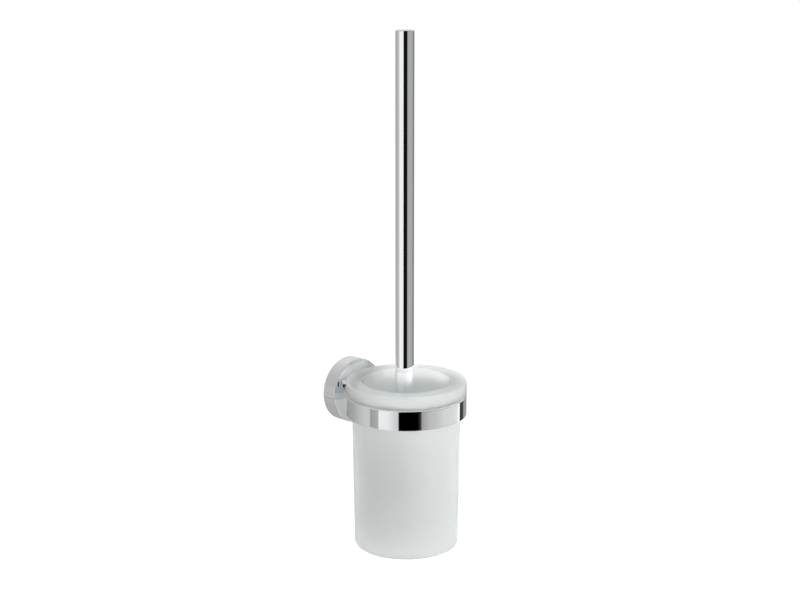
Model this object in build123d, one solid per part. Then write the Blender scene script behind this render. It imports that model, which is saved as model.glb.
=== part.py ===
from build123d import *
import math
import os

# Toilet brush holder for a wall: a round wall rosette carries a ring, a frosted
# glass tumbler hangs in the ring by its rim, and a brush with a straight round
# handle stands in the tumbler. Millimetres, +Z up.
# The wall is the plane y = 0 and the object stands out from it towards -Y.
# The origin is the centre of the wall plate's back face.

# ---- holder ring and its place ----
ring_outer_r = 45.0
ring_wall = 3.0
ring_height = 14.7
ring_edge = 0.3
ring_mid_z = 0.9

# ---- plastic liner between the ring and the glass ----
liner_gap = 0.05
liner_wall = 0.7
liner_lip = 0.6
liner_lip_step = 0.6
liner_foot = 0.6

# ---- rosette on the wall ----
rosette_r = 24.7
rosette_depth = 12.0
rosette_face = 2.0
rosette_skirt = 1.7
rosette_edge = 0.4

# ---- wall plate inside the rosette ----
plate_gap = 0.2
plate_base = 3.0
plate_rim_wall = 2.5
plate_rim_height = 8.0
wall_hole_r = 2.3
wall_hole_to_rim = 4.0

# ---- grub screw at the underside of the rosette ----
grub_r = 2.0
grub_fit = 0.05
grub_recess = 0.2
grub_reach = 1.8
grub_from_wall = 5.5
grub_key = 2.0
grub_key_depth = 1.5

# ---- post from the rosette to the ring, and its screw ----
post_r = 4.3
post_z = 0.0
post_length = 6.8
screw_r = 2.0
screw_hole_gap = 0.1
screw_head_r = 3.8
screw_recess = 0.1
screw_key = 2.5
screw_key_depth = 1.2
washer_r = 3.8
washer_thick = 1.0
washer_slot = 1.2
nut_across_flats = 7.0
nut_height = 3.2
nut_fit = 0.05
screw_past_nut = 0.6

# ---- glass tumbler ----
glass_rim_over = 0.05
glass_rim_height = 10.15
glass_neck_gap = 0.5
glass_taper = 1.75
glass_height = 127.4
glass_rim_wall = 12.2
glass_wall = 8.0
glass_base = 10.0
glass_rim_round = 1.2
glass_foot_round = 1.6
glass_inner_round = 5.0
glass_punt_r = 27.0
glass_punt_depth = 1.2

# ---- brush: where it stands ----
brush_off_x = -0.87
brush_off_y = 0.90
brush_floor_gap = 0.3

# ---- handle ----
handle_r = 6.85
handle_wall = 1.0
handle_length = 283.8
cap_height = 3.3
cap_edge = 0.5
cap_groove = 0.3
cap_groove_depth = 0.15
cap_shank = 10.0
handle_fit = 0.05
bush_length = 14.0
stud_r = 3.0
stud_fit = 0.05
stud_in_bush = 11.0
stud_in_core = 12.0
seal_thick = 1.0
seal_inset = 0.4

# ---- brush head ----
collar_step = 2.65
collar_neck_step = 0.35
collar_height = 12.0
core_step = 0.5
core_height = 70.1
tuft_to_glass = 2.0
tuft_shoulder = 6.0
tuft_top_gap = 4.0
tip_height = 8.0
tip_taper = 9.0

# ---- positions that follow from the sizes above ----
ring_y = -(rosette_depth + post_length + ring_outer_r)
ring_inner_r = ring_outer_r - ring_wall
ring_top_z = ring_mid_z + ring_height / 2
ring_low_z = ring_mid_z - ring_height / 2
liner_outer_r = ring_inner_r - liner_gap
liner_inner_r = liner_outer_r - liner_wall
seat_z = ring_top_z + liner_lip
rosette_inner_r = rosette_r - rosette_skirt
plate_r = rosette_inner_r - plate_gap
plate_rim_inner_r = plate_r - plate_rim_wall
wall_hole_x = plate_rim_inner_r - wall_hole_to_rim - wall_hole_r
post_back_y = -rosette_depth
rosette_inside_y = -(rosette_depth - rosette_face)
washer_back_y = rosette_inside_y + washer_thick
nut_back_y = washer_back_y + nut_height
screw_hole_r = screw_r + screw_hole_gap
screw_cone = screw_head_r - screw_r
screw_head_y = ring_y + ring_inner_r + screw_recess
glass_rim_r = ring_outer_r + glass_rim_over
glass_neck_r = liner_inner_r - glass_neck_gap
glass_foot_r = glass_neck_r - glass_taper
glass_top_z = seat_z + glass_rim_height
glass_foot_z = glass_top_z - glass_height
glass_floor_z = glass_foot_z + glass_base
glass_mouth_r = glass_rim_r - glass_rim_wall
glass_throat_r = glass_neck_r - glass_wall
glass_floor_r = glass_foot_r - glass_wall
brush_x = brush_off_x
brush_y = ring_y + brush_off_y
handle_bore_r = handle_r - handle_wall
tip_low_z = glass_floor_z + brush_floor_gap
tip_top_z = tip_low_z + tip_height
collar_low_z = tip_top_z + core_height
seal_low_z = collar_low_z + collar_height
handle_foot_z = seal_low_z + seal_thick
handle_top_z = handle_foot_z + handle_length
tube_top_z = handle_top_z - cap_height
collar_r = handle_r + collar_step
collar_neck_r = handle_r + collar_neck_step
core_r = collar_r - core_step
tuft_r = glass_floor_r - tuft_to_glass
tip_r = tuft_r - tip_taper
tuft_top_z = collar_low_z - tuft_top_gap


def upright(r, low_z, high_z, x, y):
    """A vertical round bar between two heights."""
    bar = Cylinder(r, high_z - low_z, align=(Align.CENTER, Align.CENTER, Align.MIN))
    return Pos(x, y, low_z) * bar


def level(r, front_y, back_y, x=0.0, z=0.0):
    """A round bar square to the wall, from its front end to its back end."""
    bar = Cylinder(r, back_y - front_y, align=(Align.CENTER, Align.CENTER, Align.MIN))
    return Pos(x, front_y, z) * (Rot(-90, 0, 0) * bar)


def level_cone(front_r, back_r, front_y, back_y, z=0.0):
    """A tapered bar square to the wall."""
    cone = Cone(
        front_r,
        back_r,
        back_y - front_y,
        align=(Align.CENTER, Align.CENTER, Align.MIN),
    )
    return Pos(0, front_y, z) * (Rot(-90, 0, 0) * cone)


def turned(points, x, y):
    """A solid turned about a vertical axis from its half section (radius, height)."""
    outline = Plane.XZ * make_face(Polyline(*points, close=True).edges())
    return Pos(x, y, 0) * revolve(outline, Axis.Z)


def hex_bar(across_flats, height):
    """A six-sided bar standing on its base."""
    corner_r = across_flats / math.sqrt(3)
    return extrude(RegularPolygon(corner_r, 6), height)


def level_hex(across_flats, front_y, back_y, z=0.0):
    """A six-sided bar square to the wall."""
    bar = hex_bar(across_flats, back_y - front_y)
    return Pos(0, front_y, z) * (Rot(-90, 0, 0) * bar)


def edges_at_height(solid, z):
    """The circular edges that lie at one height."""
    return [e for e in solid.edges() if abs(e.center().Z - z) < 1e-4]


def save(shape, name):
    """Write one named piece."""
    if isinstance(shape, Compound) and len(shape.solids()) == 1:
        shape = shape.solids()[0]
    export_step(shape, "parts/" + name + ".step")


def make_wall_plate():
    """Disc with a raised rim; two holes take the screws into the wall."""
    plate = level(plate_r, -plate_rim_height, 0)
    plate -= level(plate_rim_inner_r, -plate_rim_height - 1, -plate_base)
    for side in (-1, 1):
        plate -= level(wall_hole_r, -plate_base - 1, 1, x=side * wall_hole_x)
    plate -= grub_bar(grub_r + 2 * grub_fit, -plate_r - 1, -plate_rim_inner_r + 1)
    return plate


def grub_bar(r, low_z, high_z):
    """A vertical bar on the grub screw's axis."""
    return upright(r, low_z, high_z, 0, -grub_from_wall)


def make_rosette():
    """Round cup over the wall plate, open towards the wall."""
    cup = level(rosette_r, -rosette_depth, 0)
    front = [e for e in cup.edges() if abs(e.center().Y + rosette_depth) < 1e-4]
    cup = fillet(front, rosette_edge)
    cup -= level(rosette_inner_r, rosette_inside_y, 1)
    cup -= level(screw_hole_r, -rosette_depth - 1, 0, z=post_z)
    cup -= grub_bar(grub_r + grub_fit, -rosette_r - 1, -rosette_inner_r + 1)
    return cup


def make_grub():
    """Headless screw with a six-sided key hole in its lower end."""
    low_z = -rosette_r + grub_recess
    high_z = -plate_rim_inner_r - plate_rim_wall + grub_reach
    body = grub_bar(grub_r, low_z, high_z)
    key = hex_bar(grub_key, grub_key_depth)
    return body - Pos(0, -grub_from_wall, low_z) * key


def make_post():
    """Short round post; its front end is hollowed to the ring's curve."""
    post = level(post_r, ring_y, post_back_y, z=post_z)
    post -= upright(ring_outer_r, ring_low_z - 20, ring_top_z + 20, 0, ring_y)
    post -= level(screw_hole_r, ring_y, 0, z=post_z)
    return post


def make_ring():
    """Flat band with a countersunk hole for the post's screw."""
    band = upright(ring_outer_r, ring_low_z, ring_top_z, 0, ring_y)
    band -= upright(ring_inner_r, ring_low_z - 1, ring_top_z + 1, 0, ring_y)
    rims = edges_at_height(band, ring_low_z) + edges_at_height(band, ring_top_z)
    band = chamfer(rims, ring_edge)
    band -= level(screw_hole_r, ring_y, post_back_y, z=post_z)
    grow = screw_hole_gap
    band -= level_cone(
        screw_head_r + grow,
        screw_r + grow,
        screw_head_y,
        screw_head_y + screw_cone,
        z=post_z,
    )
    band -= level(screw_head_r + grow, ring_y, screw_head_y, z=post_z)
    return band


def make_arm_screw():
    """Countersunk screw from inside the ring to the nut in the rosette."""
    shank_end_y = nut_back_y + screw_past_nut
    screw = level_cone(
        screw_head_r,
        screw_r,
        screw_head_y,
        screw_head_y + screw_cone,
        z=post_z,
    )
    screw += level(screw_r, screw_head_y + screw_cone, shank_end_y, z=post_z)
    key_end_y = screw_head_y + screw_key_depth
    screw -= level_hex(screw_key, screw_head_y, key_end_y, z=post_z)
    return screw


def make_washer():
    """Split spring washer under the nut."""
    disc = level(washer_r, rosette_inside_y, washer_back_y, z=post_z)
    disc -= level(screw_hole_r, rosette_inside_y - 1, washer_back_y + 1, z=post_z)
    from_axis = (Align.CENTER, Align.CENTER, Align.MIN)
    split = Box(washer_slot, washer_thick + 2, washer_r + 1, align=from_axis)
    return disc - Pos(0, rosette_inside_y + washer_thick / 2, post_z) * split


def make_nut():
    """Six-sided nut on the screw's end."""
    nut = level_hex(nut_across_flats, washer_back_y, nut_back_y, z=post_z)
    return nut - level(screw_r + nut_fit, washer_back_y - 1, nut_back_y + 1, z=post_z)


def make_liner():
    """Thin sleeve in the ring, with a lip on the ring's top edge and a foot below."""
    lip_r = ring_outer_r - liner_lip_step
    foot_z = ring_low_z - liner_foot
    points = [
        (liner_inner_r, foot_z),
        (liner_outer_r, foot_z),
        (liner_outer_r, ring_top_z),
        (lip_r, ring_top_z),
        (lip_r, seat_z),
        (liner_inner_r, seat_z),
    ]
    return turned(points, 0, ring_y)


def make_glass():
    """Tapered tumbler with a thick rim that rests on the liner's lip."""
    points = [
        (0, glass_foot_z + glass_punt_depth),
        (glass_punt_r, glass_foot_z + glass_punt_depth),
        (glass_punt_r + glass_punt_depth, glass_foot_z),
        (glass_foot_r, glass_foot_z),
        (glass_neck_r, seat_z),
        (glass_rim_r, seat_z),
        (glass_rim_r, glass_top_z),
        (glass_mouth_r, glass_top_z),
        (glass_throat_r, seat_z),
        (glass_floor_r, glass_floor_z),
        (0, glass_floor_z),
    ]
    glass = turned(points, 0, ring_y)
    foot = [e for e in edges_at_height(glass, glass_foot_z) if e.radius > glass_foot_r - 0.1]
    glass = fillet(foot, glass_foot_round)
    glass = fillet(edges_at_height(glass, glass_floor_z), glass_inner_round)
    return fillet(edges_at_height(glass, glass_top_z), glass_rim_round)


def make_handle_tube():
    """Straight round tube."""
    tube = upright(handle_r, handle_foot_z, tube_top_z, brush_x, brush_y)
    return tube - upright(handle_bore_r, handle_foot_z - 1, tube_top_z + 1, brush_x, brush_y)


def make_end_cap():
    """Flat cap with a shank in the tube and a fine shadow groove above the tube."""
    cap = upright(handle_r, tube_top_z + cap_groove, handle_top_z, brush_x, brush_y)
    cap = fillet(edges_at_height(cap, handle_top_z), cap_edge)
    groove_r = handle_r - cap_groove_depth
    cap += upright(groove_r, tube_top_z, tube_top_z + cap_groove, brush_x, brush_y)
    shank_r = handle_bore_r - handle_fit
    cap += upright(shank_r, tube_top_z - cap_shank, tube_top_z, brush_x, brush_y)
    return cap


def make_bush():
    """Threaded bush pressed into the lower end of the tube."""
    bush_r = handle_bore_r - handle_fit
    bush = upright(bush_r, handle_foot_z, handle_foot_z + bush_length, brush_x, brush_y)
    hole_r = stud_r + stud_fit
    return bush - upright(hole_r, handle_foot_z - 1, handle_foot_z + bush_length + 1, brush_x, brush_y)


def make_stud():
    """Threaded stud that joins the handle to the brush head."""
    low_z = collar_low_z - stud_in_core
    high_z = handle_foot_z + stud_in_bush
    return upright(stud_r, low_z, high_z, brush_x, brush_y)


def make_seal():
    """Flat rubber ring between the handle and the collar."""
    seal = upright(handle_r - seal_inset, seal_low_z, handle_foot_z, brush_x, brush_y)
    return seal - upright(stud_r + stud_fit, seal_low_z - 1, handle_foot_z + 1, brush_x, brush_y)


def make_collar():
    """Tapered plastic neck between the handle and the brush head."""
    bore_r = stud_r + stud_fit
    points = [
        (bore_r, collar_low_z),
        (collar_r, collar_low_z),
        (collar_r, collar_low_z + collar_height * 0.4),
        (collar_neck_r, seal_low_z),
        (bore_r, seal_low_z),
    ]
    return turned(points, brush_x, brush_y)


def make_core():
    """Plastic core that the bristle tufts stand in."""
    core = upright(core_r, tip_top_z, collar_low_z, brush_x, brush_y)
    hole_low_z = collar_low_z - stud_in_core - 1
    return core - upright(stud_r + stud_fit, hole_low_z, collar_low_z + 1, brush_x, brush_y)


def make_side_tufts():
    """Plain solid of the bristles round the core."""
    inner_r = core_r
    points = [
        (inner_r, tip_top_z),
        (tuft_r, tip_top_z),
        (tuft_r, tuft_top_z - tuft_shoulder),
        (tuft_r - tuft_shoulder, tuft_top_z),
        (inner_r, tuft_top_z),
    ]
    return turned(points, brush_x, brush_y)


def make_tip_tufts():
    """Plain solid of the bristles under the core."""
    points = [
        (0, tip_low_z),
        (tip_r, tip_low_z),
        (tuft_r, tip_top_z),
        (0, tip_top_z),
    ]
    return turned(points, brush_x, brush_y)


def main():
    """Write every piece."""
    os.makedirs("parts", exist_ok=True)
    save(make_wall_plate(), "wall_plate")
    save(make_rosette(), "wall_rosette")
    save(make_grub(), "rosette_grub_screw")
    save(make_post(), "arm_post")
    save(make_arm_screw(), "arm_screw")
    save(make_washer(), "arm_lock_washer")
    save(make_nut(), "arm_nut")
    save(make_ring(), "holder_ring")
    save(make_liner(), "ring_liner")
    save(make_glass(), "glass_tumbler")
    save(make_handle_tube(), "handle_tube")
    save(make_end_cap(), "handle_end_cap")
    save(make_bush(), "handle_bush")
    save(make_stud(), "handle_stud")
    save(make_seal(), "handle_seal")
    save(make_collar(), "brush_collar")
    save(make_core(), "brush_core")
    save(make_side_tufts(), "brush_side_tufts")
    save(make_tip_tufts(), "brush_tip_tufts")


main()
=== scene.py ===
import math
import random

import bpy
from mathutils import Matrix, Vector


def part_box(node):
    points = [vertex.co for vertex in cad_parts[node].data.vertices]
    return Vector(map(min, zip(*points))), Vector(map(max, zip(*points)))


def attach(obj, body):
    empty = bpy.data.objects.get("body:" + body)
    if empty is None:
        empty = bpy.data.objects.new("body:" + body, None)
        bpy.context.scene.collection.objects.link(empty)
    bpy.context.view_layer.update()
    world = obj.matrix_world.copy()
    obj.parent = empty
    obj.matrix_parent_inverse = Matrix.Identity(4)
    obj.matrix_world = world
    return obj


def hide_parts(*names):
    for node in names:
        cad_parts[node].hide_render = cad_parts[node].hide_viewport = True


bl_info = {
    "name": "Toilet brush holder",
    "version": (1, 0, 0),
    "blender": (4, 5, 0),
    "location": "View3D > Sidebar > Brush Holder",
    "description": "Finishes, bristles and studio for a wall-mounted toilet brush holder",
    "category": "Object",
}

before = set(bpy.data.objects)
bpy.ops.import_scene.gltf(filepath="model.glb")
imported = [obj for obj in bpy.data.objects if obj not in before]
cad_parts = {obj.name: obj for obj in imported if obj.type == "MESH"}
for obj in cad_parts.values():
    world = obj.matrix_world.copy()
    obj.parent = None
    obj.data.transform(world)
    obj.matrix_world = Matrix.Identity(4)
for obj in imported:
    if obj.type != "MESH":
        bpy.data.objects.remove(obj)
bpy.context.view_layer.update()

CHROME_NODES = ("handle_tube", "handle_end_cap", "holder_ring", "wall_rosette", "arm_post")
SCREW_NODES = ("arm_screw", "arm_lock_washer", "arm_nut", "rosette_grub_screw", "handle_stud")
WHITE_NODES = ("brush_core", "brush_collar", "handle_bush")

core_low, core_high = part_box("brush_core")
side_low, side_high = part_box("brush_side_tufts")
tip_low, tip_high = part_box("brush_tip_tufts")
glass_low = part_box("glass_tumbler")[0]
ring_low, ring_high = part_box("holder_ring")
brush_axis = (core_low + core_high) / 2
ring_axis = (ring_low + ring_high) / 2
core_radius = (core_high.x - core_low.x) / 2
head_radius = (side_high.x - side_low.x) / 2

# room between the longest bristle and the outside of the head
BRISTLE_MARGIN = 0.0002
# turn that spreads points evenly over a disc, in radians
EVEN_TURN = 2.39996
# thickness of a bristle's end, as a share of its foot's
END_THICKNESS = 0.8
# how far a bristle's end is bent aside, as a share of its length
END_BEND = 0.10
# heights where a bristle is cut across, and the share of the bend that is added above each height
BRISTLE_CUTS = (0.35, 0.7)
BRISTLE_BENDS = ((0.6, 0.35), (0.9, 0.65))
# how unevenly the bristles of a tuft lean, stand out and turn
LEAN_RANGE = (0.75, 1.15)
LENGTH_RANGE = (0.95, 1.0)
TURN_RANGE = (-0.3, 0.3)


# ---------------------------------------------------------------- shader maths


class Wire:
    """A shader value; arithmetic on it adds the nodes that work it out."""

    def __init__(self, tree, socket):
        self.tree = tree
        self.socket = socket

    def math(self, operation, *values, clamp=False):
        node = self.tree.nodes.new("ShaderNodeMath")
        node.operation = operation
        node.use_clamp = clamp
        for slot, value in zip(node.inputs, values):
            join(self.tree, slot, value)
        return Wire(self.tree, node.outputs[0])

    def __add__(self, other):
        return self.math("ADD", self, other)

    def __radd__(self, other):
        return self.math("ADD", other, self)

    def __sub__(self, other):
        return self.math("SUBTRACT", self, other)

    def __rsub__(self, other):
        return self.math("SUBTRACT", other, self)

    def __mul__(self, other):
        return self.math("MULTIPLY", self, other)

    def __rmul__(self, other):
        return self.math("MULTIPLY", other, self)

    def __truediv__(self, other):
        return self.math("DIVIDE", self, other)

    def ramp(self, low, high):
        """0 at low, 1 at high, straight between them and level outside."""
        return self.math("DIVIDE", self - low, high - low, clamp=True)


def join(tree, slot, value):
    """Link a wire to a socket, or set the socket's own value."""
    if isinstance(value, Wire):
        tree.links.new(value.socket, slot)
    else:
        slot.default_value = value


class Finish:
    """One material, or the world, and the short calls that build its nodes."""

    def __init__(self, name, owner=None):
        self.owner = owner or bpy.data.materials.new(name)
        self.owner.use_nodes = True
        self.tree = self.owner.node_tree
        self.tree.nodes.clear()

    def node(self, kind, settings=None, values=None, out=0):
        """Add a node, set it up, fill its sockets, and return one output as a wire."""
        made = self.tree.nodes.new(kind)
        for key, value in (settings or {}).items():
            if key == "stops":
                self.stops(made.color_ramp, value)
            else:
                setattr(made, key, value)
        for key, value in (values or {}).items():
            slot = next(s for s in made.inputs if key in (s.identifier, s.name))
            join(self.tree, slot, value)
        return Wire(self.tree, made.outputs[out]) if made.outputs else None

    def stops(self, ramp, stops):
        """Fill a colour ramp with (position, colour) pairs."""
        ramp.elements[0].position = stops[0][0]
        ramp.elements[0].color = stops[0][1]
        ramp.elements[1].position = stops[-1][0]
        ramp.elements[1].color = stops[-1][1]
        for position, colour in stops[1:-1]:
            ramp.elements.new(position).color = colour

    def place(self):
        """Object coordinates."""
        return self.node("ShaderNodeTexCoord", out=3)

    def axes(self, place):
        """The three parts of a coordinate."""
        parts = self.tree.nodes.new("ShaderNodeSeparateXYZ")
        join(self.tree, parts.inputs[0], place)
        return [Wire(self.tree, s) for s in parts.outputs]

    def noise(self, place, scale, detail=2.0, rough=0.5, stretch=(1, 1, 1)):
        """Soft random value from 0 to 1."""
        if stretch != (1, 1, 1):
            place = self.node("ShaderNodeMapping", None, {"Vector": place, "Scale": stretch})
        values = {"Vector": place, "Scale": scale, "Detail": detail, "Roughness": rough}
        return self.node("ShaderNodeTexNoise", None, values)

    def blend(self, factor, first, second):
        """Mix two colours."""
        values = {"Factor_Float": factor, "A_Color": first, "B_Color": second}
        return self.node("ShaderNodeMix", {"data_type": "RGBA"}, values, out=2)

    def bump(self, height, strength, distance):
        """Turn a height into a normal."""
        values = {"Height": height, "Strength": strength, "Distance": distance}
        return self.node("ShaderNodeBump", None, values)

    def surface(self, **values):
        """The principled shader, wired to the output."""
        named = {key.replace("_", " "): value for key, value in values.items()}
        shader = self.node("ShaderNodeBsdfPrincipled", None, named)
        self.node("ShaderNodeOutputMaterial", None, {"Surface": shader})
        return self.owner

    def glow(self, colour):
        """A surface that only gives light, wired to the output."""
        light = self.node("ShaderNodeEmission", None, {"Color": colour, "Strength": 1.0})
        self.node("ShaderNodeOutputMaterial", None, {"Surface": light})
        return self.owner


def grey(value):
    """A neutral colour."""
    return (value, value, value, 1.0)


def toned(colour, share=1.0):
    """A colour property as a shader colour, darker or paler by a share."""
    return (*[part * share for part in colour], 1)


def paint(node, material):
    """Give a carried-over piece its finish."""
    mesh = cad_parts[node].data
    mesh.materials.clear()
    mesh.materials.append(material)


# ------------------------------------------------------------------- modelling


def clear_selection():
    """Leave edit mode and deselect everything."""
    if bpy.context.object and bpy.context.object.mode != "OBJECT":
        bpy.ops.object.mode_set(mode="OBJECT")
    bpy.ops.object.select_all(action="DESELECT")


def select_where(piece, test):
    """In edit mode, select the vertices whose place passes a test."""
    bpy.ops.mesh.select_mode(type="VERT")
    bpy.ops.mesh.select_all(action="DESELECT")
    bpy.ops.object.mode_set(mode="OBJECT")
    for vertex in piece.data.vertices:
        vertex.select = test(vertex.co)
    bpy.ops.object.mode_set(mode="EDIT")


def join_pieces(pieces, name):
    """Join separate pieces into one object at the origin."""
    clear_selection()
    for piece in pieces:
        piece.select_set(True)
    bpy.context.view_layer.objects.active = pieces[0]
    bpy.ops.object.join()
    whole = bpy.context.object
    whole.name = name
    whole.data.name = name
    bpy.ops.object.transform_apply(location=True, rotation=True, scale=True)
    return whole


def copy_at(source, matrix):
    """A copy with its own mesh, put in place."""
    twin = source.copy()
    twin.data = source.data.copy()
    twin.data.transform(matrix)
    bpy.context.collection.objects.link(twin)
    return twin


def make_fibre(sizes):
    """One bristle standing up from the origin, a little curved towards +X."""
    clear_selection()
    length = sizes.length
    bpy.ops.mesh.primitive_cone_add(
        vertices=4,
        radius1=sizes.thickness / 2,
        radius2=sizes.thickness / 2 * END_THICKNESS,
        depth=length,
        location=(0, 0, length / 2),
        end_fill_type="NGON",
    )
    fibre = bpy.context.object
    bpy.ops.object.transform_apply(location=True, rotation=True, scale=True)
    bpy.ops.object.mode_set(mode="EDIT")
    for share in BRISTLE_CUTS:
        bpy.ops.mesh.select_all(action="SELECT")
        bpy.ops.mesh.bisect(plane_co=(0, 0, length * share), plane_no=(0, 0, 1))
    for share, push in BRISTLE_BENDS:
        select_where(fibre, lambda co: co.z > length * share)
        bpy.ops.transform.translate(value=(END_BEND * length * push, 0, 0))
    bpy.ops.object.mode_set(mode="OBJECT")
    return fibre


def make_tuft(sizes, seed, fan):
    """A tuft of bristles fanning out from one hole."""
    dice = random.Random(seed)
    fibre = make_fibre(sizes)
    copies = []
    for index in range(sizes.fibres):
        turn = index * EVEN_TURN
        out = math.sqrt((index + 0.5) / sizes.fibres)
        lean = fan * out * dice.uniform(*LEAN_RANGE)
        foot = Vector((math.cos(turn), math.sin(turn), 0)) * sizes.tuft_hole / 2 * out
        size = Matrix.Diagonal((1, 1, dice.uniform(*LENGTH_RANGE), 1))
        tilt = Matrix.Rotation(lean, 4, "Y")
        spin = Matrix.Rotation(turn + dice.uniform(*TURN_RANGE), 4, "Z")
        copies.append(copy_at(fibre, Matrix.Translation(foot) @ spin @ tilt @ size))
    bpy.data.objects.remove(fibre)
    return join_pieces(copies, "tuft")


def drop(pieces):
    """Remove helper pieces."""
    for piece in pieces:
        bpy.data.objects.remove(piece)


# ------------------------------------------------------------------ properties


class StageSizes(bpy.types.PropertyGroup):
    floor_z: bpy.props.FloatProperty(
        name="Floor height", description="Height of the pale floor", default=-0.75, unit="LENGTH"
    )
    floor_size: bpy.props.FloatProperty(
        name="Floor size", description="Side of the square floor", default=80.0, unit="LENGTH"
    )
    floor_shade: bpy.props.FloatProperty(
        name="Floor shade", description="How pale the floor is", default=0.95, min=0, max=1
    )
    floor_glow: bpy.props.FloatProperty(
        name="Floor glow",
        description="Light of its own that keeps the floor white",
        default=0.11,
        min=0,
    )
    sky: bpy.props.FloatProperty(
        name="Soft light", description="Strength of the soft light from all round", default=1.35, min=0
    )
    sky_lean: bpy.props.FloatProperty(
        name="Light from behind",
        description="Soft light from behind, less that from the front",
        default=-0.3,
    )
    sky_fall: bpy.props.FloatProperty(
        name="Less from above", description="How much less soft light comes from above", default=0.6
    )
    backdrop: bpy.props.FloatProperty(
        name="Backdrop", description="Brightness of the backdrop", default=1.25, min=0
    )
    right_power: bpy.props.FloatProperty(
        name="Right light",
        description="Power of the soft light at the right",
        default=16.0,
        unit="POWER",
    )
    right_angle: bpy.props.FloatProperty(
        name="Right light's direction",
        description="Angle of the right light from the camera's side",
        default=math.radians(75),
        unit="ROTATION",
    )
    right_lift: bpy.props.FloatProperty(
        name="Right light's height",
        description="Height of the right light, as a share of its distance",
        default=0.15,
    )
    left_power: bpy.props.FloatProperty(
        name="Left light",
        description="Power of the soft light behind at the left",
        default=5.0,
        unit="POWER",
    )
    left_angle: bpy.props.FloatProperty(
        name="Left light's direction",
        description="Angle of the left light from the camera's side",
        default=math.radians(-120),
        unit="ROTATION",
    )
    left_lift: bpy.props.FloatProperty(
        name="Left light's height",
        description="Height of the left light, as a share of its distance",
        default=1.6,
    )
    lamp_distance: bpy.props.FloatProperty(
        name="Light distance",
        description="How far the soft lights stand from the object",
        default=1.5,
        unit="LENGTH",
    )
    lamp_size: bpy.props.FloatProperty(
        name="Light size", description="Side of each soft light", default=0.9, unit="LENGTH"
    )
    screen_radius: bpy.props.FloatProperty(
        name="Screen radius",
        description="Distance of the screens that the chrome mirrors",
        default=1.7,
        unit="LENGTH",
    )
    screen_gap: bpy.props.FloatProperty(
        name="Floor screen gap",
        description="Gap between the floor and the screen above it",
        default=0.005,
        unit="LENGTH",
    )
    screen_low_top: bpy.props.FloatProperty(
        name="Lower screen top",
        description="Height where the lower screens end",
        default=-0.508,
        unit="LENGTH",
    )
    screen_foot: bpy.props.FloatProperty(
        name="Lower screen foot",
        description="Height where the lower screens begin",
        default=-0.62,
        unit="LENGTH",
    )
    screen_mid_top: bpy.props.FloatProperty(
        name="Middle screen top",
        description="Height where the middle screens end",
        default=0.16,
        unit="LENGTH",
    )
    screen_top: bpy.props.FloatProperty(
        name="Upper screen top",
        description="Height where the upper screens end",
        default=1.1,
        unit="LENGTH",
    )
    mirrored_floor: bpy.props.FloatProperty(
        name="Mirrored floor",
        description="How bright the floor looks in the chrome",
        default=0.42,
        min=0,
    )
    lens: bpy.props.FloatProperty(
        name="Lens", description="Focal length of the camera in millimetres", default=72.14
    )
    eye: bpy.props.FloatVectorProperty(
        name="Camera place",
        description="Where the camera stands",
        default=(-0.8299, -0.8553, 0.3584),
        subtype="TRANSLATION",
        unit="LENGTH",
    )
    pitch: bpy.props.FloatProperty(
        name="Camera pitch",
        description="How far the camera looks down",
        default=math.radians(13.63),
        unit="ROTATION",
    )
    turn: bpy.props.FloatProperty(
        name="Camera turn",
        description="Direction the camera looks, from +Y",
        default=math.radians(-46.12),
        unit="ROTATION",
    )


class FinishColours(bpy.types.PropertyGroup):
    chrome: bpy.props.FloatVectorProperty(
        name="Chrome",
        description="Colour of the polished chrome",
        default=(0.93, 0.94, 0.95),
        subtype="COLOR",
        min=0,
        max=1,
    )
    glass: bpy.props.FloatVectorProperty(
        name="Frosted glass",
        description="Colour of the frosted glass",
        default=(0.96, 0.98, 0.975),
        subtype="COLOR",
        min=0,
        max=1,
    )
    liner: bpy.props.FloatVectorProperty(
        name="Liner",
        description="Colour of the plastic liner in the ring",
        default=(0.70, 0.72, 0.72),
        subtype="COLOR",
        min=0,
        max=1,
    )
    zinc: bpy.props.FloatVectorProperty(
        name="Zinc plate",
        description="Colour of the wall plate",
        default=(0.55, 0.57, 0.60),
        subtype="COLOR",
        min=0,
        max=1,
    )
    steel: bpy.props.FloatVectorProperty(
        name="Screw steel",
        description="Colour of screws and nut",
        default=(0.58, 0.58, 0.57),
        subtype="COLOR",
        min=0,
        max=1,
    )
    plastic: bpy.props.FloatVectorProperty(
        name="Brush plastic",
        description="Colour of the brush head's plastic",
        default=(0.82, 0.82, 0.80),
        subtype="COLOR",
        min=0,
        max=1,
    )
    bristle: bpy.props.FloatVectorProperty(
        name="Bristles",
        description="Colour of the nylon bristles",
        default=(0.92, 0.92, 0.91),
        subtype="COLOR",
        min=0,
        max=1,
    )
    glass_clear: bpy.props.FloatProperty(
        name="Clearness",
        description="How much light goes through the frosted glass",
        default=0.8,
        min=0,
        max=1,
    )
    glass_depth: bpy.props.FloatProperty(
        name="Light depth",
        description="How far light spreads inside the frosted glass",
        default=0.030,
        unit="LENGTH",
    )
    glass_frost: bpy.props.FloatProperty(
        name="Frost", description="Roughness of the frosted glass", default=0.80, min=0, max=1
    )
    rubber: bpy.props.FloatVectorProperty(
        name="Rubber",
        description="Colour of the handle's seal",
        default=(0.03, 0.03, 0.032),
        subtype="COLOR",
        min=0,
        max=1,
    )


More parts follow.
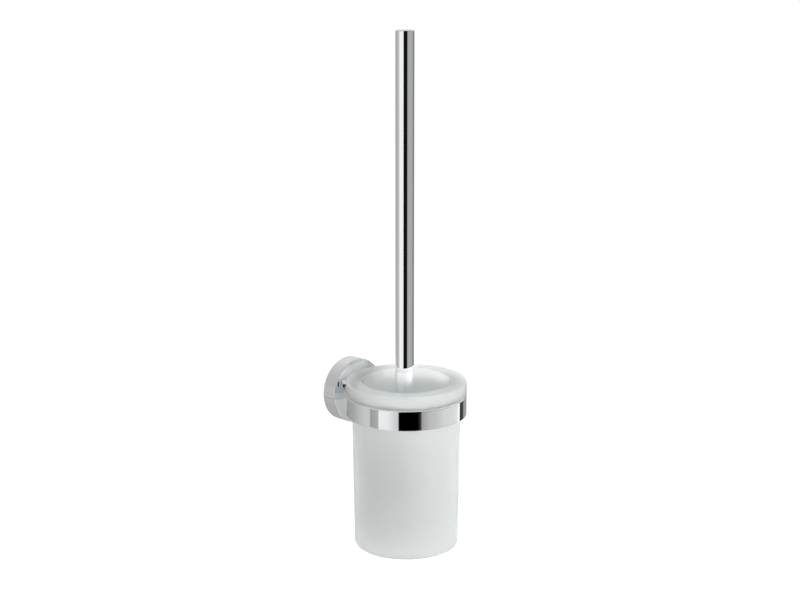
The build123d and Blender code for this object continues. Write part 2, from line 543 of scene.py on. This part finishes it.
class BristleSizes(bpy.types.PropertyGroup):
    length: bpy.props.FloatProperty(
        name="Bristle length",
        description="Length of one bristle",
        default=head_radius - core_radius - BRISTLE_MARGIN,
        unit="LENGTH",
    )
    thickness: bpy.props.FloatProperty(
        name="Bristle thickness", description="Diameter of one bristle", default=0.00042, unit="LENGTH"
    )
    fibres: bpy.props.IntProperty(
        name="Bristles in a tuft", description="How many bristles stand in one hole", default=22, min=3
    )
    tuft_hole: bpy.props.FloatProperty(
        name="Tuft hole",
        description="Diameter of the hole that holds a tuft",
        default=0.0024,
        unit="LENGTH",
    )
    side_fan: bpy.props.FloatProperty(
        name="Side fan",
        description="How far the outer bristles of a side tuft lean out",
        default=0.27,
        unit="ROTATION",
    )
    tip_fan: bpy.props.FloatProperty(
        name="Tip fan",
        description="How far the outer bristles of a tip tuft lean out",
        default=0.22,
        unit="ROTATION",
    )
    rows: bpy.props.IntProperty(
        name="Rows", description="Rows of tufts up the core", default=12, min=2
    )
    tufts_in_row: bpy.props.IntProperty(
        name="Tufts in a row", description="Tufts round the core in one row", default=16, min=4
    )


# ---------------------------------------------------------------------- stage


def seen_only_in_chrome(screen):
    """Hide a screen from everything but mirror reflections."""
    screen.visible_camera = False
    screen.visible_diffuse = False
    screen.visible_transmission = False
    screen.visible_shadow = False


def direction(x, y):
    """Direction from the middle, 0.5 at the camera's side, in turns."""
    return x.math("ARCTAN2", x, 0 - y) / (2 * math.pi) + 0.5


def screen_colours(finish, turn, levels):
    """Brightness of a screen by its direction, in turns from the back left."""
    stops = [((angle + 180) / 360, grey(level)) for angle, level in levels]
    ramp = {"stops": stops}
    return finish.node("ShaderNodeValToRGB", ramp, {"Fac": turn})


class HOLDER_OT_stage(bpy.types.Operator):
    """Floor, soft light, two side lights, mirror screens and camera"""

    bl_idname = "holder.stage"
    bl_label = "Stage"

    # brightness of the screens by direction: 0 is the camera's side, 90 its right
    ceiling = (
        (-180, 0.71), (-161, 0.71), (-141, 0.62), (-117, 0.56), (-100, 0.50), (-60, 0.55), (-18, 0.50),
        (-16, 0.006), (115, 0.01), (125, 0.05), (140, 0.45), (160, 0.71), (180, 0.71),
    )
    high_band = (
        (-180, 0.71), (-161, 0.71), (-141, 0.62), (-117, 0.56), (-100, 0.50), (-88, 0.48), (-50, 0.60),
        (-18, 0.60), (-16, 0.006), (29, 0.006), (31, 0.40), (90, 0.50), (120, 0.60), (160, 0.71),
        (180, 0.71),
    )
    middle_band = (
        (-180, 0.70), (-176, 0.66), (-174, 0.36), (-150, 0.40), (-140, 0.44), (-100, 0.45), (-92, 0.49),
        (-85, 0.54), (-70, 0.68), (-67, 0.95), (-18, 0.93), (-16, 0.006), (29, 0.006), (31, 0.36),
        (45, 0.42), (65, 0.46), (72, 0.40), (88, 0.44), (102, 0.44), (105, 0.27), (150, 0.25),
        (174, 0.30), (176, 0.66), (180, 0.70),
    )
    low_band = (
        (-180, 0.20), (-155, 0.22), (-150, 0.33), (-120, 0.39), (-100, 0.52), (-84, 0.60), (-73, 0.60),
        (-72, 0.35), (-55, 0.43), (-53, 0.90), (-37, 0.88), (-20, 0.66), (-15.5, 0.62), (-14.5, 0.0),
        (22, 0.0), (25, 0.03), (27, 0.03), (29, 0.36), (44, 0.52), (57, 0.57), (77, 0.70), (100, 0.73),
        (113, 0.82), (115, 1.0), (121, 1.0), (122, 0.04), (137, 0.06), (139, 0.30), (180, 0.45),
    )
    floor_edge = ((-180, 0.44), (-150, 0.42), (-120, 0.48), (-60, 0.50), (-20, 0.42), (180, 0.44))
    floor_middle = ((-180, 0.44), (-150, 0.42), (-90, 0.41), (180, 0.44))
    # where the low, the middle and the high band fade in, from the height where each begins
    fades = ((0.0, 0.03), (-0.006, 0.006), (0.0, 0.1))
    # a flat screen's radius, and the radius where its edge tones begin, as shares of the screen radius
    flat_radius = 1.02
    flat_edge = 0.4

    def execute(self, context):
        sizes = context.scene.holder_stage
        self.floor(sizes)
        self.screens(sizes)
        above_floor = sizes.floor_z + sizes.screen_gap
        self.flat_screen("floor_screen", above_floor, self.floor_middle, self.floor_edge, sizes)
        self.flat_screen("ceiling_screen", sizes.screen_top, self.ceiling, self.high_band, sizes)
        self.lights(sizes)
        self.camera(sizes)
        return {"FINISHED"}

    def floor(self, sizes):
        clear_selection()
        bpy.ops.mesh.primitive_plane_add(size=sizes.floor_size, location=(0, 0, sizes.floor_z))
        floor = bpy.context.object
        floor.name = "pale_floor"
        white = Finish("floor_white").surface(
            Base_Color=grey(sizes.floor_shade),
            Roughness=0.9,
            Emission_Color=grey(1.0),
            Emission_Strength=sizes.floor_glow,
        )
        floor.data.materials.append(white)

    def screens(self, sizes):
        clear_selection()
        height = sizes.screen_top - sizes.floor_z
        bpy.ops.mesh.primitive_cylinder_add(
            vertices=128,
            radius=sizes.screen_radius,
            depth=height,
            end_fill_type="NOTHING",
            location=(ring_axis.x, ring_axis.y, sizes.floor_z + height / 2),
        )
        screen = bpy.context.object
        screen.name = "mirror_screens"
        screen.rotation_euler = (0, 0, sizes.turn)
        seen_only_in_chrome(screen)
        screen.data.materials.append(self.screen_finish(sizes, height))

    def flat_screen(self, name, z, levels, edge_levels, sizes):
        """A round screen above or below the object, seen only in the chrome."""
        clear_selection()
        bpy.ops.mesh.primitive_circle_add(
            vertices=128,
            radius=sizes.screen_radius * self.flat_radius,
            fill_type="NGON",
            location=(ring_axis.x, ring_axis.y, z),
        )
        screen = bpy.context.object
        screen.name = name
        seen_only_in_chrome(screen)
        screen.rotation_euler = (0, 0, sizes.turn)
        finish = Finish(name)
        x, y, _ = finish.axes(finish.place())
        turn = direction(x, y)
        off_axis = x.math("SQRT", x * x + y * y)
        far = off_axis.ramp(sizes.screen_radius * self.flat_edge, sizes.screen_radius)
        edge = screen_colours(finish, turn, edge_levels)
        colour = finish.blend(far, screen_colours(finish, turn, levels), edge)
        screen.data.materials.append(finish.glow(colour))

    def screen_finish(self, sizes, height):
        """Three bands of brightness, one above the other, over the tone of the floor."""
        finish = Finish("screen_light")
        x, y, z = finish.axes(finish.place())
        turn = direction(x, y)
        z = z + (sizes.floor_z + height / 2)
        colour = grey(sizes.mirrored_floor)
        starts = (sizes.screen_foot, sizes.screen_low_top, sizes.screen_mid_top)
        bands = (self.low_band, self.middle_band, self.high_band)
        for start, (low, high), levels in zip(starts, self.fades, bands):
            band = screen_colours(finish, turn, levels)
            colour = finish.blend(z.ramp(start + low, start + high), colour, band)
        return finish.glow(colour)

    def lights(self, sizes):
        """Soft light from all round, a plain backdrop, and a lamp at each side."""
        world = bpy.data.worlds.new("soft_light")
        bpy.context.scene.world = world
        sky = Finish("soft_light", world)
        way = sky.node("ShaderNodeTexCoord")
        ahead = (-math.sin(sizes.turn), math.cos(sizes.turn), 0)
        settings = {"operation": "DOT_PRODUCT"}
        along = sky.node("ShaderNodeVectorMath", settings, {"Vector": way, "Vector_001": ahead}, out=1)
        seen = sky.node("ShaderNodeLightPath")
        up = sky.axes(way)[2]
        soft = sizes.sky + along * sizes.sky_lean - up * sizes.sky_fall
        strength = seen * sizes.backdrop + (1 - seen) * soft
        light = sky.node("ShaderNodeBackground", None, {"Color": grey(1.0), "Strength": strength})
        sky.node("ShaderNodeOutputWorld", None, {"Surface": light})
        self.lamp("right_light", sizes.right_angle, sizes.right_lift, sizes.right_power, sizes)
        self.lamp("left_light", sizes.left_angle, sizes.left_lift, sizes.left_power, sizes)

    def lamp(self, name, angle, lift, power, sizes):
        """A soft square light at an angle from the camera's side, kept out of the chrome."""
        clear_selection()
        turn = sizes.turn + angle
        spot = Vector((math.sin(turn), -math.cos(turn), lift)) * sizes.lamp_distance + ring_axis
        bpy.ops.object.light_add(type="AREA", location=spot)
        lamp = bpy.context.object
        lamp.name = name
        lamp.data.size = sizes.lamp_size
        lamp.data.energy = power
        lamp.rotation_euler = (ring_axis - spot).to_track_quat("-Z", "Y").to_euler()
        lamp.visible_glossy = False

    def camera(self, sizes):
        clear_selection()
        bpy.ops.object.camera_add(location=sizes.eye)
        camera = bpy.context.object
        camera.rotation_euler = (math.pi / 2 - sizes.pitch, 0, sizes.turn)
        camera.data.lens = sizes.lens
        camera.data.sensor_width = 36.0
        camera.data.clip_end = 100.0
        bpy.context.scene.camera = camera
        bpy.context.scene.view_settings.view_transform = "Standard"
        bpy.context.scene.cycles.glossy_bounces = 10


# ------------------------------------------------------------------- finishes


class HOLDER_OT_chrome(bpy.types.Operator):
    """Mirror chrome on handle, ring, rosette and post"""

    bl_idname = "holder.chrome"
    bl_label = "Chrome"

    def execute(self, context):
        colours = context.scene.holder_colours
        finish = Finish("mirror_chrome")
        place = finish.place()
        haze = finish.noise(place, 28.0, detail=3.0, rough=0.55)
        specks = finish.noise(place, 420.0, detail=1.0)
        ripple = finish.noise(place, 60.0, detail=1.0, rough=0.4)
        rough = 0.022 + haze.ramp(0.45, 0.8) * 0.02 + specks.ramp(0.7, 0.9) * 0.02
        tint = finish.blend(haze.ramp(0.3, 0.8), toned(colours.chrome), toned(colours.chrome, 0.97))
        normal = finish.bump(ripple, strength=0.02, distance=0.0002)
        chrome = finish.surface(Base_Color=tint, Metallic=1.0, Roughness=rough, Normal=normal)
        for node in CHROME_NODES:
            paint(node, chrome)
        return {"FINISHED"}


class HOLDER_OT_glass(bpy.types.Operator):
    """Frosted glass of the tumbler"""

    bl_idname = "holder.glass"
    bl_label = "Frosted glass"

    # how much of its colour the glass keeps in its clouds (random tone), and the painted shade that
    # darkens it below the ring and at its foot
    cloud_shade = 0.975
    shade_painted_under_ring = 0.935
    shade_painted_at_base = 0.89
    # height where the painted shade below the ring begins, over the ring's top edge; the rim above it
    # is left lighter
    under_ring_shade_top = -0.001
    # heights over the foot where the painted shade at the foot begins and where it is full
    base_shade_begins = 0.035
    base_shade_full = 0.004

    def execute(self, context):
        colours = context.scene.holder_colours
        finish = Finish("frosted_glass")
        place = finish.place()
        z = finish.axes(place)[2]
        grain = finish.noise(place, 2600.0, rough=0.6)
        cloud = finish.noise(place, 35.0)
        # painted shade: the glass is darker below the ring and near its foot, so the rim reads lighter
        under_ring_shade_mask = z.ramp(ring_high.z + self.under_ring_shade_top, ring_low.z)
        base_shade_mask = z.ramp(glass_low.z + self.base_shade_begins, glass_low.z + self.base_shade_full)
        colour = finish.blend(cloud, toned(colours.glass), toned(colours.glass, self.cloud_shade))
        colour = finish.blend(under_ring_shade_mask, colour, toned(colours.glass, self.shade_painted_under_ring))
        colour = finish.blend(base_shade_mask, colour, toned(colours.glass, self.shade_painted_at_base))
        glass = finish.surface(
            Base_Color=colour,
            Roughness=colours.glass_frost - 0.04 + grain * 0.08,
            IOR=1.5,
            Normal=finish.bump(grain, strength=0.12, distance=0.00008),
            Transmission_Weight=colours.glass_clear,
            Subsurface_Weight=1.0,
            Subsurface_Radius=(1.0, 1.0, 1.0),
            Subsurface_Scale=colours.glass_depth,
        )
        paint("glass_tumbler", glass)
        return {"FINISHED"}


class HOLDER_OT_hardware(bpy.types.Operator):
    """Wall plate, screws, liner and seal"""

    bl_idname = "holder.hardware"
    bl_label = "Hardware"

    def execute(self, context):
        colours = context.scene.holder_colours
        self.liner(colours)
        self.plate(colours)
        self.screws(colours)
        self.seal(colours)
        return {"FINISHED"}

    def liner(self, colours):
        finish = Finish("liner_plastic")
        cloud = finish.noise(finish.place(), 300.0)
        colour = finish.blend(cloud, toned(colours.liner), toned(colours.liner, 0.9))
        paint("ring_liner", finish.surface(Base_Color=colour, Roughness=0.4 + cloud * 0.15))

    def plate(self, colours):
        finish = Finish("zinc_plate")
        place = finish.place()
        spangle = finish.node("ShaderNodeTexVoronoi", None, {"Vector": place, "Scale": 160.0}, out=1)
        value = finish.node("ShaderNodeRGBToBW", None, {"Color": spangle})
        scuff = finish.noise(place, 90.0, detail=3.0, rough=0.6, stretch=(1, 1, 6))
        colour = finish.blend(value * 0.6, toned(colours.zinc), toned(colours.zinc, 0.82))
        normal = finish.bump(scuff, strength=0.08, distance=0.0002)
        rough = 0.3 + value * 0.15
        zinc = finish.surface(Base_Color=colour, Metallic=1.0, Roughness=rough, Normal=normal)
        paint("wall_plate", zinc)

    def screws(self, colours):
        finish = Finish("screw_steel")
        drawn = finish.noise(finish.place(), 500.0)
        colour = finish.blend(drawn, toned(colours.steel), toned(colours.steel, 0.85))
        steel = finish.surface(Base_Color=colour, Metallic=1.0, Roughness=0.26 + drawn * 0.14)
        for node in SCREW_NODES:
            paint(node, steel)

    def seal(self, colours):
        finish = Finish("seal_rubber")
        dust = finish.noise(finish.place(), 900.0, rough=0.6)
        colour = finish.blend(dust, toned(colours.rubber), toned(colours.rubber, 1.8))
        paint("handle_seal", finish.surface(Base_Color=colour, Roughness=0.6 + dust * 0.2))


class HOLDER_OT_plastic(bpy.types.Operator):
    """White plastic of the brush head"""

    bl_idname = "holder.plastic"
    bl_label = "Brush plastic"

    def execute(self, context):
        colours = context.scene.holder_colours
        finish = Finish("brush_plastic")
        place = finish.place()
        cloud = finish.noise(place, 60.0)
        skin = finish.noise(place, 1500.0, detail=1.0)
        colour = finish.blend(cloud, toned(colours.plastic), toned(colours.plastic, 0.94))
        normal = finish.bump(skin, strength=0.05, distance=0.00005)
        plastic = finish.surface(Base_Color=colour, Roughness=0.28 + cloud * 0.12, Normal=normal)
        for node in WHITE_NODES:
            paint(node, plastic)
        return {"FINISHED"}


def bristle_finish(colours):
    """White nylon, with painted shade that makes it a little darker towards the core."""
    made = bpy.data.materials.get("nylon_bristle")
    if made:
        return made
    finish = Finish("nylon_bristle")
    place = finish.place()
    x, y, _ = finish.axes(place)
    off_x = x - brush_axis.x
    off_y = y - brush_axis.y
    out = off_x.math("SQRT", off_x * off_x + off_y * off_y)
    shade = finish.noise(place, 700.0, detail=1.0)
    # painted shade towards the core, mixed with a little random tone
    core_shade_and_tone = out.ramp(0.010, 0.026) * 0.8 + shade * 0.2
    colour = finish.blend(core_shade_and_tone, toned(colours.bristle, 0.78), toned(colours.bristle))
    return finish.surface(Base_Color=colour, Roughness=0.34 + shade * 0.16)


class HOLDER_OT_side_bristles(bpy.types.Operator):
    """Rows of tufts round the core"""

    bl_idname = "holder.side_bristles"
    bl_label = "Side bristles"

    # room under the lowest row and over the highest row
    low_room = 0.003
    high_room = 0.0035
    # how far a tuft may turn or tip from its even place, in radians
    wobble = 0.03
    # how far the lowest and highest rows point down and up together, in radians
    spread = 0.16
    # depth of a tuft's foot in the core
    foot_depth = 0.0003
    # length of the shortest tuft, as a share of the longest
    shortest = 0.965
    # share of the head's height where its shoulder begins, and how much shorter the top row is
    shoulder_begins = 0.8
    shoulder_cut = 0.22

    def execute(self, context):
        sizes = context.scene.holder_bristles
        tufts = [make_tuft(sizes, seed, sizes.side_fan) for seed in (3, 4, 5)]
        dice = random.Random(11)
        low_z = side_low.z + self.low_room
        high_z = side_high.z - self.high_room
        copies = []
        for row in range(sizes.rows):
            share = row / (sizes.rows - 1)
            z = low_z + (high_z - low_z) * share
            lift = (share - 0.5) * self.spread
            for step in range(sizes.tufts_in_row):
                turn = (step + 0.5 * (row % 2)) / sizes.tufts_in_row * 2 * math.pi
                turn += dice.uniform(-self.wobble, self.wobble)
                lean = math.pi / 2 - lift + dice.uniform(-self.wobble, self.wobble)
                short = self.shorten(share, dice)
                around = Matrix.Rotation(turn, 4, "Z")
                place = Matrix.Translation((brush_axis.x, brush_axis.y, z))
                out = Matrix.Translation((core_radius - self.foot_depth, 0, 0))
                tilt = Matrix.Rotation(lean, 4, "Y")
                size = Matrix.Diagonal((1, 1, short, 1))
                copies.append(copy_at(dice.choice(tufts), place @ around @ out @ tilt @ size))
        drop(tufts)
        piece = join_pieces(copies, "side_bristles")
        piece.data.materials.append(bristle_finish(context.scene.holder_colours))
        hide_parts("brush_side_tufts")
        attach(piece, "brush")
        return {"FINISHED"}

    def shorten(self, share, dice):
        """Upper rows are a little shorter, which rounds the head's shoulder."""
        shoulder = max(0.0, share - self.shoulder_begins) / (1 - self.shoulder_begins)
        return (1.0 - self.shoulder_cut * shoulder * shoulder) * dice.uniform(self.shortest, 1.0)


class HOLDER_OT_tip_bristles(bpy.types.Operator):
    """Tufts that fan out under the core"""

    bl_idname = "holder.tip_bristles"
    bl_label = "Tip bristles"

    # for each ring: how many tufts, how far from the axis, and how far they lean outwards
    rings = ((1, 0.0, 0.0), (7, 0.0032, 0.62), (12, 0.0062, 1.02), (16, 0.0082, 1.25))
    # how far a tuft may turn from its even place, in radians
    wobble = 0.05
    # depth of a tuft's foot in the core, and room under the longest bristle
    foot_depth = 0.0002
    end_room = 0.0006
    # how much more a tuft's outer bristles lean, and the least slope that a tuft is fitted to
    outer_lean = 0.12
    least_slope = 0.2
    # length of the shortest tuft, as a share of the longest
    shortest = 0.94

    def execute(self, context):
        sizes = context.scene.holder_bristles
        tufts = [make_tuft(sizes, seed, sizes.tip_fan) for seed in (7, 8)]
        dice = random.Random(23)
        depth = tip_high.z - tip_low.z
        copies = []
        for count, radius, lean in self.rings:
            for step in range(count):
                turn = (step + 0.5) / count * 2 * math.pi + dice.uniform(-self.wobble, self.wobble)
                slope = max(self.least_slope, math.cos(lean + self.outer_lean))
                reach = min(sizes.length, (depth - self.end_room) / slope)
                reach *= dice.uniform(self.shortest, 1.0)
                around = Matrix.Rotation(turn, 4, "Z")
                place = Matrix.Translation((brush_axis.x, brush_axis.y, tip_high.z + self.foot_depth))
                out = Matrix.Translation((radius, 0, 0))
                tilt = Matrix.Rotation(math.pi - lean, 4, "Y")
                size = Matrix.Diagonal((1, 1, reach / sizes.length, 1))
                copies.append(copy_at(dice.choice(tufts), place @ around @ out @ tilt @ size))
        drop(tufts)
        piece = join_pieces(copies, "tip_bristles")
        piece.data.materials.append(bristle_finish(context.scene.holder_colours))
        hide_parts("brush_tip_tufts")
        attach(piece, "brush")
        return {"FINISHED"}


class HOLDER_PT_panel(bpy.types.Panel):
    """Buttons for the pieces, in the order they are made"""

    bl_idname = "HOLDER_PT_panel"
    bl_label = "Brush Holder"
    bl_space_type = "VIEW_3D"
    bl_region_type = "UI"
    bl_category = "Brush Holder"

    def draw(self, context):
        for operator in OPERATORS:
            self.layout.operator(operator.bl_idname)


GROUPS = (StageSizes, FinishColours, BristleSizes)
OPERATORS = (
    HOLDER_OT_stage,
    HOLDER_OT_chrome,
    HOLDER_OT_glass,
    HOLDER_OT_hardware,
    HOLDER_OT_plastic,
    HOLDER_OT_side_bristles,
    HOLDER_OT_tip_bristles,
)


def register():
    for made in (*GROUPS, *OPERATORS, HOLDER_PT_panel):
        bpy.utils.register_class(made)
    bpy.types.Scene.holder_stage = bpy.props.PointerProperty(type=StageSizes)
    bpy.types.Scene.holder_colours = bpy.props.PointerProperty(type=FinishColours)
    bpy.types.Scene.holder_bristles = bpy.props.PointerProperty(type=BristleSizes)


def unregister():
    del bpy.types.Scene.holder_bristles
    del bpy.types.Scene.holder_colours
    del bpy.types.Scene.holder_stage
    for made in reversed((*GROUPS, *OPERATORS, HOLDER_PT_panel)):
        bpy.utils.unregister_class(made)


def main():
    """Build everything in order."""
    register()
    bpy.ops.holder.stage()
    bpy.ops.holder.chrome()
    bpy.ops.holder.glass()
    bpy.ops.holder.hardware()
    bpy.ops.holder.plastic()
    bpy.ops.holder.side_bristles()
    bpy.ops.holder.tip_bristles()


if __name__ == "__main__":
    main()
